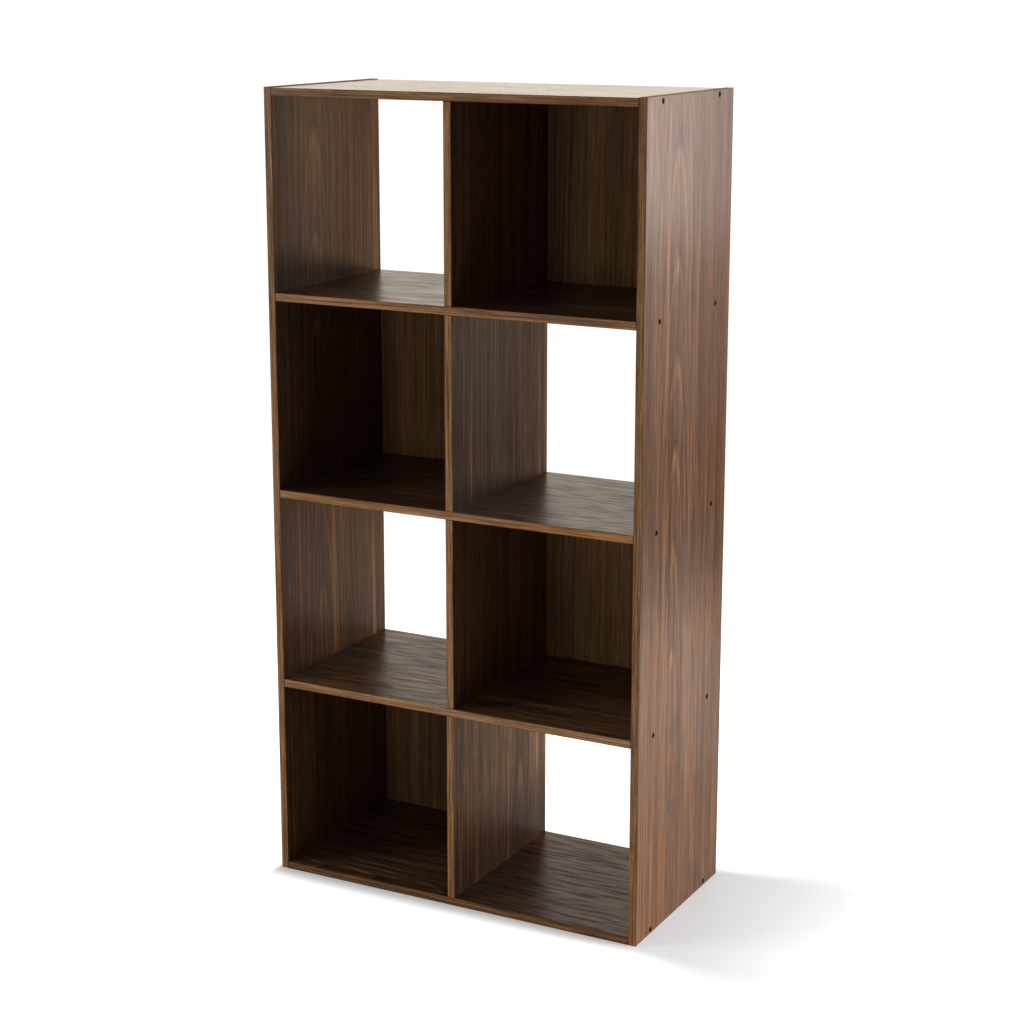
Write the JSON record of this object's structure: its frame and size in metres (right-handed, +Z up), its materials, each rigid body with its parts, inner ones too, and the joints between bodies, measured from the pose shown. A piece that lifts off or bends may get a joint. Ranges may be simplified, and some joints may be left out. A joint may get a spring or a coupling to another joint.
{
  "type": "cube storage unit",
  "caption": "Tall open cube storage unit of dark walnut-grain laminated boards, with lighter front edges and back panels closing alternate cells.",
  "frame": {"origin": "middle of the footprint, on the floor", "axes": "+Z up, -Y out of the open front, +X to the right seen from the front"},
  "size_m": [0.606, 0.3008, 1.201],
  "materials": {
    "laminated_board": "semi-gloss dark walnut laminate on particleboard, raw particleboard rear edges",
    "edge_band": "satin warm brown wood-grain edge band",
    "back_panel": "dark walnut print on thin hardboard, plain brown rear face",
    "screw": "black finished steel",
    "dowel": "plain beech",
    "nail": "bright wire nail"
  },
  "bodies": {
    "root": {"back_nails_row_1": "nail", "back_nails_row_2": "nail", "back_nails_row_3": "nail", "back_nails_row_4": "nail", "back_panel_row_1": "back_panel", "back_panel_row_2": "back_panel", "back_panel_row_3": "back_panel", "back_panel_row_4": "back_panel", "bottom_panel": "laminated_board", "bottom_panel_front_band": "edge_band", "divider_dowels": "dowel", "divider_row_1": "laminated_board", "divider_row_1_front_band": "edge_band", "divider_row_2": "laminated_board", "divider_row_2_front_band": "edge_band", "divider_row_3": "laminated_board", "divider_row_3_front_band": "edge_band", "divider_row_4": "laminated_board", "divider_row_4_front_band": "edge_band", "left_side_front_band": "edge_band", "left_side_panel": "laminated_board", "left_side_screws": "screw", "left_side_top_band": "edge_band", "lower_shelf": "laminated_board", "lower_shelf_front_band": "edge_band", "middle_shelf": "laminated_board", "middle_shelf_front_band": "edge_band", "right_side_front_band": "edge_band", "right_side_panel": "laminated_board", "right_side_screws": "screw", "right_side_top_band": "edge_band", "top_panel": "laminated_board", "top_panel_front_band": "edge_band", "upper_shelf": "laminated_board", "upper_shelf_front_band": "edge_band"}
  },
  "joints": []
}
